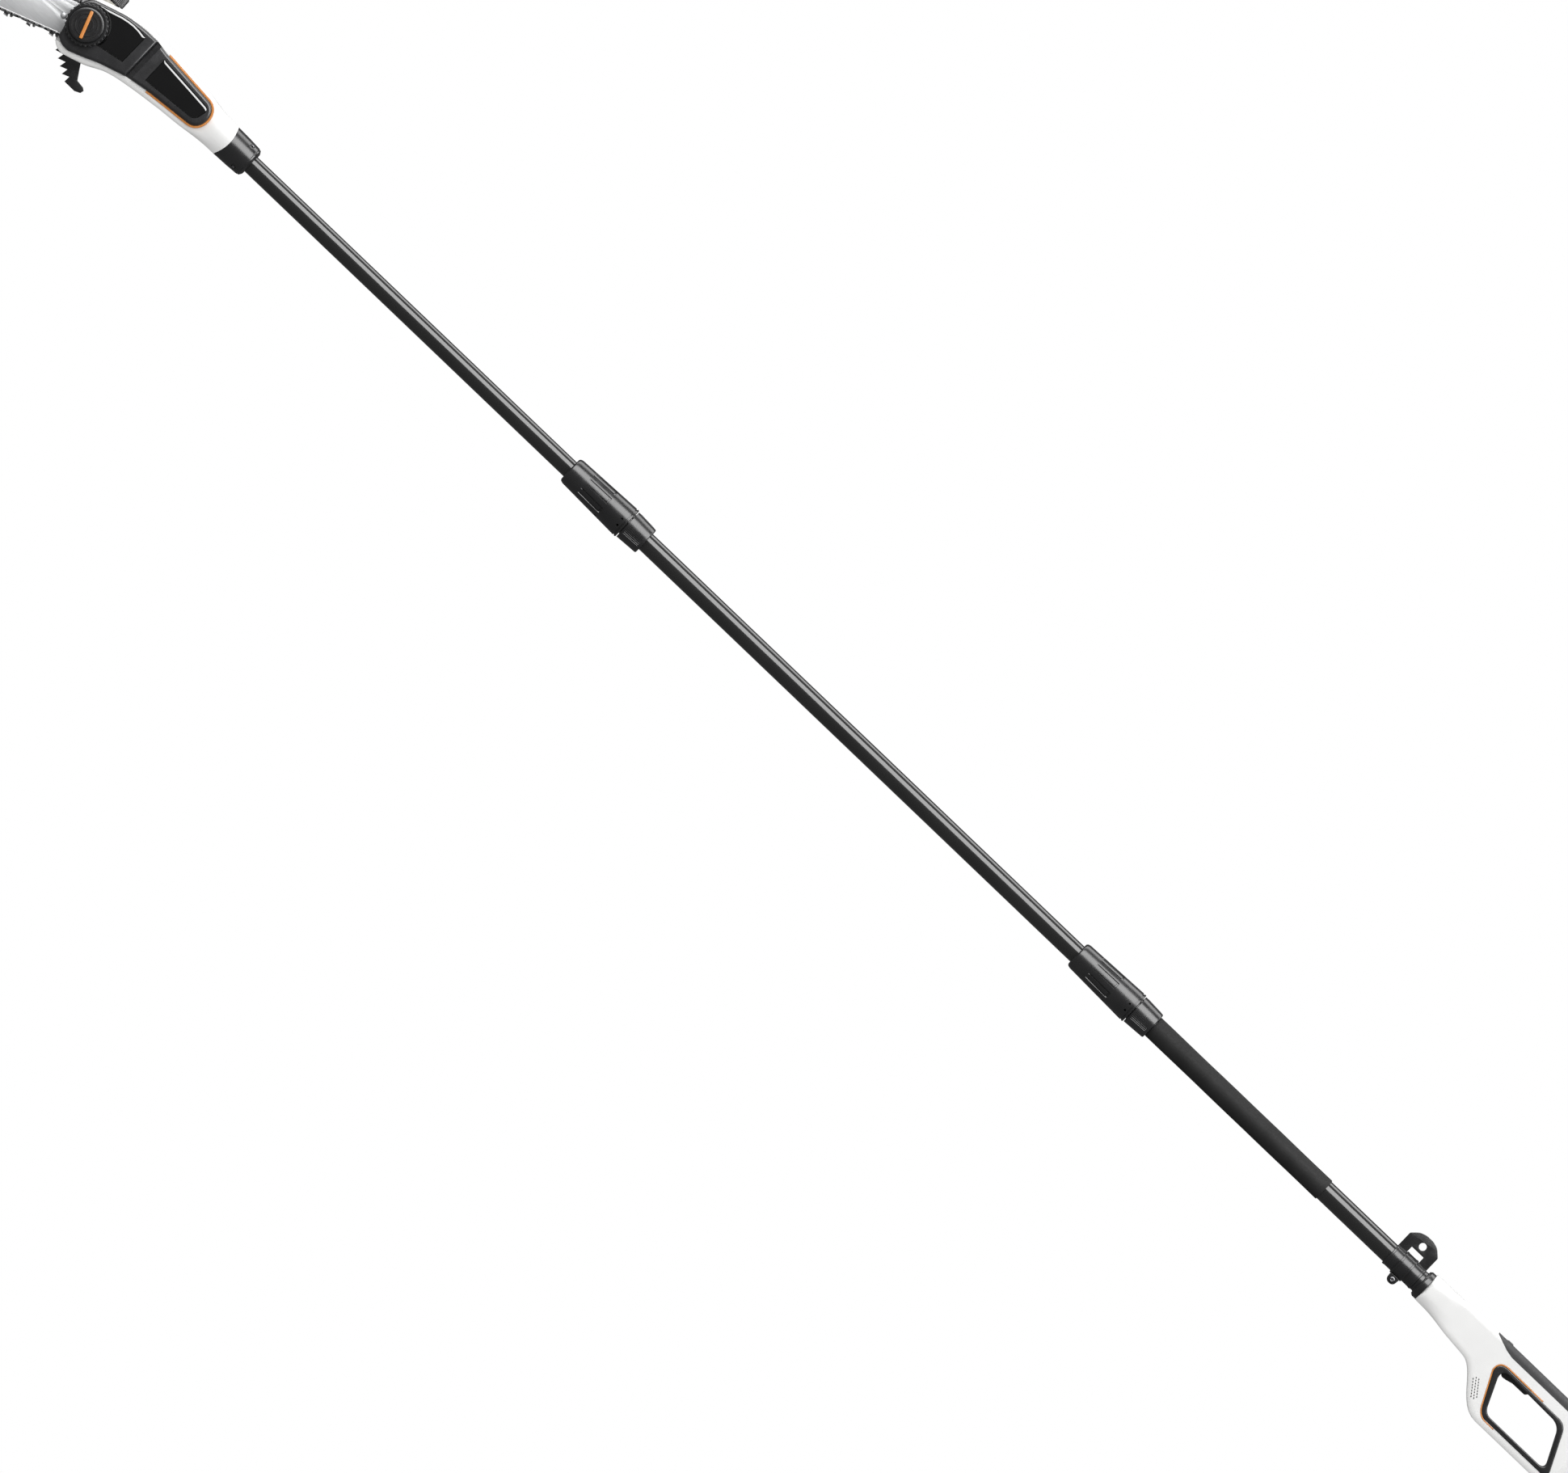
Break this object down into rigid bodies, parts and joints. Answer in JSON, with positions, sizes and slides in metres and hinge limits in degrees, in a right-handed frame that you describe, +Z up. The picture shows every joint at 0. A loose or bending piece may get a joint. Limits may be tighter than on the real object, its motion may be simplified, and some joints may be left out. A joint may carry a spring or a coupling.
{
  "type": "telescoping pole saw",
  "caption": "Battery pole saw: a chain saw head with bar and chain on a telescoping twist-lock pole, with a looped rear handle, trigger and slide-on battery.",
  "frame": {"origin": "on the pole's axis, in the middle of the rear grip above the hand opening", "axes": "+X along the pole, away from the saw head; +Z up, away from the hand opening; -Y is the side with the chain cover and its knob"},
  "size_m": [3.4115, 0.0945, 0.1977],
  "materials": {
    "black_plastic": "black moulded nylon, fine grain",
    "circuit_board": "solder-masked board",
    "brass": "machined",
    "bright_steel": "ground steel",
    "battery_cells": "shrink-wrapped cells",
    "tank_plastic": "translucent natural plastic",
    "dark_steel": "hardened steel, oiled",
    "foam": "closed-cell foam, matt",
    "gloss_black": "polished black",
    "orange_plastic": "orange moulded, satin",
    "coated_tube": "gloss black coating",
    "rubber": "moulded rubber, matt",
    "white_shell": "white moulded nylon, satin"
  },
  "bodies": {
    "handle": {"lower_tube": "coated_tube", "lower_lock_collar": "black_plastic", "lower_collet": "rubber", "foam_sleeve": "foam", "carry_bracket": "black_plastic", "bracket_band": "black_plastic", "bracket_bolt": "dark_steel", "handle_collar": "black_plastic", "handle_shell_front": "white_shell", "handle_shell_back": "white_shell", "grip_strip": "rubber", "opening_liner": "black_plastic", "handle_trim": "orange_plastic", "switch_body": "black_plastic", "control_board": "circuit_board", "battery_terminals": "brass", "trigger_spring": "bright_steel"},
    "middle_pole": {"middle_tube": "coated_tube", "middle_tube_bush": "rubber", "upper_lock_collar": "black_plastic", "upper_collet": "rubber"},
    "saw_head": {"upper_tube": "coated_tube", "upper_tube_bush": "rubber", "head_collar": "black_plastic", "head_shell_front": "white_shell", "head_shell_back": "white_shell", "sprocket_cover": "black_plastic", "sprocket_cover_insert": "gloss_black", "motor_cover": "black_plastic", "motor_cover_insert": "gloss_black", "head_trim": "orange_plastic", "branch_hook": "black_plastic", "bar_pad": "bright_steel", "bar_stud": "bright_steel", "gear_case": "dark_steel", "shaft_bearing": "bright_steel", "motor_can": "dark_steel", "oil_tank": "tank_plastic", "oil_pump": "dark_steel"},
    "lower_sleeve": {"lower_lock_sleeve": "black_plastic"},
    "upper_sleeve": {"upper_lock_sleeve": "black_plastic"},
    "trigger": {"trigger": "black_plastic"},
    "lock_off": {"lock_off_slider": "black_plastic"},
    "battery_pack": {"battery_case": "black_plastic", "battery_cells": "battery_cells"},
    "battery_button": {"battery_latch": "orange_plastic"},
    "knob": {"lock_knob": "black_plastic", "knob_handle": "orange_plastic", "knob_nut": "brass"},
    "tension_dial": {"tension_ring": "black_plastic"},
    "bar_set": {"guide_bar": "bright_steel", "saw_chain": "dark_steel", "bar_pin": "bright_steel"},
    "nose_wheel": {"bar_nose_sprocket": "dark_steel"},
    "drive": {"sprocket_shaft": "bright_steel", "bevel_gear": "dark_steel", "drive_sprocket": "dark_steel"},
    "rotor": {"motor_rotor": "brass", "bevel_pinion": "dark_steel"},
    "filler_cap": {"oil_cap": "black_plastic"}
  },
  "joints": [
    {"name": "middle_tube_slide", "type": "slide", "parent": "handle", "child": "middle_pole", "axis": [1, 0, 0], "range_m": [0, 0.58]},
    {"name": "upper_tube_slide", "type": "slide", "parent": "middle_pole", "child": "saw_head", "axis": [1, 0, 0], "range_m": [0, 0.6]},
    {"name": "lower_lock_twist", "type": "hinge", "parent": "handle", "child": "lower_sleeve", "pos_m": [-0.8651, 0, 0], "axis": [1, 0, 0], "range_deg": [0, 90]},
    {"name": "upper_lock_twist", "type": "hinge", "parent": "middle_pole", "child": "upper_sleeve", "pos_m": [-1.8927, 0, 0], "axis": [1, 0, 0], "range_deg": [0, 90]},
    {"name": "trigger_pull", "type": "hinge", "parent": "handle", "child": "trigger", "pos_m": [-0.05, 0, 0.005], "axis": [0, -1, 0], "range_deg": [0, 6], "stiffness_Nm_per_rad": 0.5, "springref_deg": -20.05},
    {"name": "lock_off_push", "type": "slide", "parent": "handle", "child": "lock_off", "axis": [-1, 0, 0], "range_m": [0, 0.006], "stiffness_N_per_m": 150, "springref_m": -0.01},
    {"name": "battery_slide", "type": "slide", "parent": "handle", "child": "battery_pack", "axis": [0, 0, 1], "range_m": [0, 0.105]},
    {"name": "battery_button_press", "type": "slide", "parent": "battery_pack", "child": "battery_button", "axis": [-1, 0, 0], "range_m": [0, 0.003], "stiffness_N_per_m": 800, "springref_m": -0.003},
    {"name": "knob_turn", "type": "hinge", "parent": "saw_head", "child": "knob", "pos_m": [-2.9123, -0.04, -0.0191], "axis": [0, -1, 0], "range_deg": [0, 360]},
    {"name": "bar_tension_slide", "type": "slide", "parent": "saw_head", "child": "bar_set", "axis": [0.9397, 0, 0.342], "range_m": [0, 0.005]},
    {"name": "tension_dial_turn", "type": "hinge", "parent": "saw_head", "child": "tension_dial", "pos_m": [-2.9123, -0.04, -0.0191], "axis": [0, -1, 0], "range_deg": [0, 120]},
    {"name": "rotor_spin", "type": "hinge", "parent": "saw_head", "child": "rotor", "pos_m": [-2.7645, 0.008, 0.00347], "axis": [1, 0, 0], "continuous": true},
    {"name": "sprocket_spin", "type": "hinge", "parent": "saw_head", "child": "drive", "pos_m": [-2.85028, -0.017, 0.00347], "axis": [0, 1, 0], "continuous": true},
    {"name": "nose_wheel_spin", "type": "hinge", "parent": "bar_set", "child": "nose_wheel", "pos_m": [-3.16414, -0.017, -0.11076], "axis": [0, 1, 0], "continuous": true},
    {"name": "filler_cap_turn", "type": "hinge", "parent": "saw_head", "child": "filler_cap", "pos_m": [-2.91, 0.012, 0.04], "axis": [0, 0, 1], "range_deg": [0, 170]}
  ],
  "couplings": [
    {"joint": "tension_dial_turn", "follows": "bar_tension_slide", "rad_per_m": 418.8},
    {"joint": "sprocket_spin", "follows": "rotor_spin", "ratio": 0.33333},
    {"joint": "nose_wheel_spin", "follows": "rotor_spin", "ratio": 0.22222}
  ]
}
